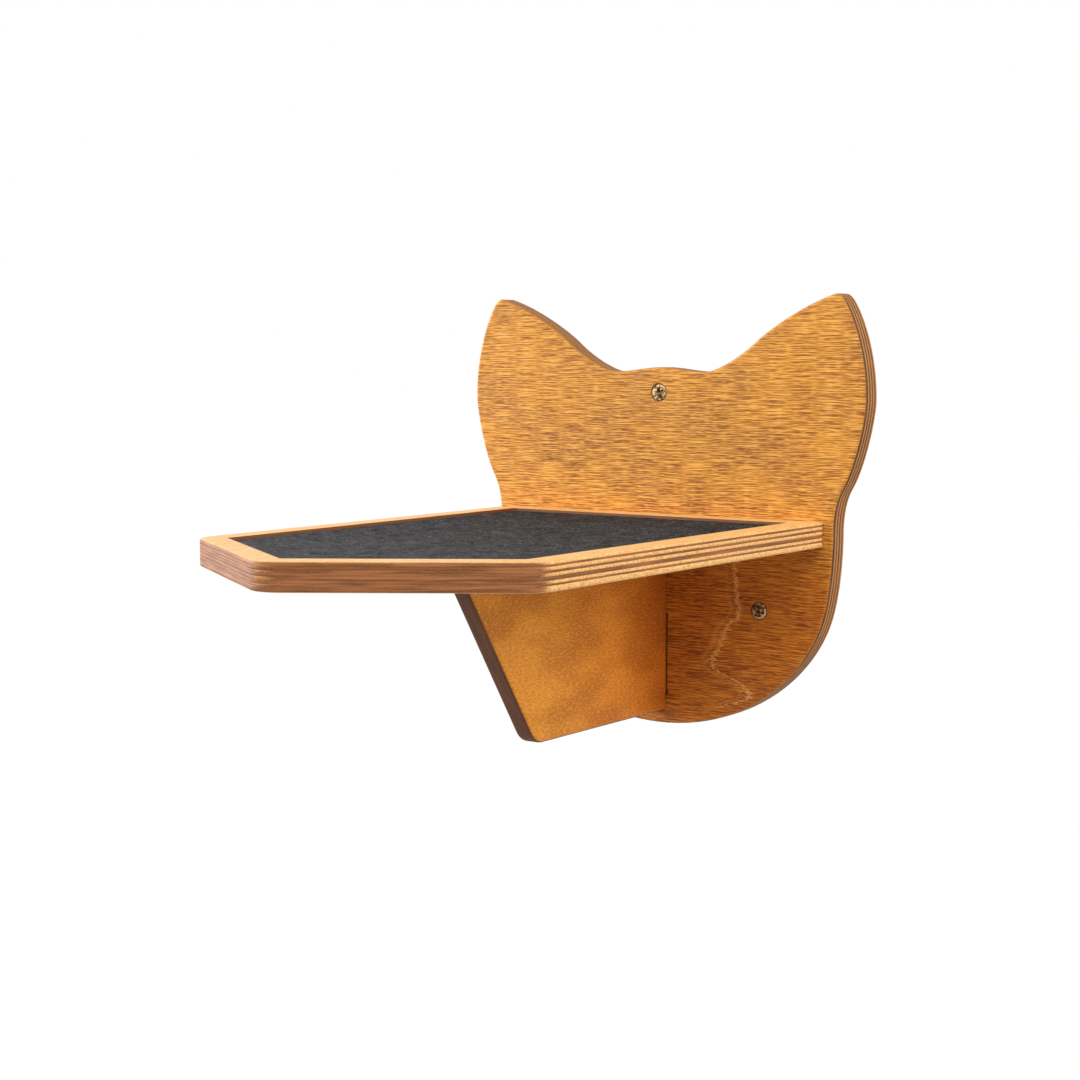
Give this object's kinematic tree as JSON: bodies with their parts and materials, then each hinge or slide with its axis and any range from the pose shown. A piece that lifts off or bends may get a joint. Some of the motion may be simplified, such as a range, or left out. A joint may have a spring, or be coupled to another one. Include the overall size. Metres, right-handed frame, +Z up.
{
  "type": "cat wall step",
  "caption": "Wall-mounted cat step: a plywood back plate shaped as a cat's head holds a pentagonal shelf with a recessed carpet pad, braced by a bracket tenoned through the plate.",
  "frame": {"origin": "on the back plate's rear face, on its vertical centre line, at the level of the shelf's top rim", "axes": "+Z up, +Y into the wall, so the shelf reaches out along -Y, and +X to the right of someone facing the wall"},
  "size_m": [0.2328, 0.3399, 0.218],
  "materials": {
    "stained_birch_plate": "stained and oiled birch plywood, satin",
    "stained_birch_shelf": "birch plywood with bare ply edges, satin",
    "stained_birch_bracket": "stained birch plywood, satin",
    "charcoal_felt": "charcoal needle-felt carpet, matte",
    "yellow_zinc": "yellow-passivated zinc on steel",
    "plain_zinc": "bright zinc on steel"
  },
  "bodies": {
    "root": {"back_plate": "stained_birch_plate", "shelf_board": "stained_birch_shelf", "support_bracket": "stained_birch_bracket", "carpet_pad": "charcoal_felt", "wall_screw_top": "yellow_zinc", "wall_screw_left": "yellow_zinc", "wall_screw_right": "yellow_zinc", "rear_screw_left": "plain_zinc", "rear_screw_right": "plain_zinc", "rear_screw_bracket": "plain_zinc", "down_screw_rear": "plain_zinc", "down_screw_front": "plain_zinc"}
  },
  "joints": []
}
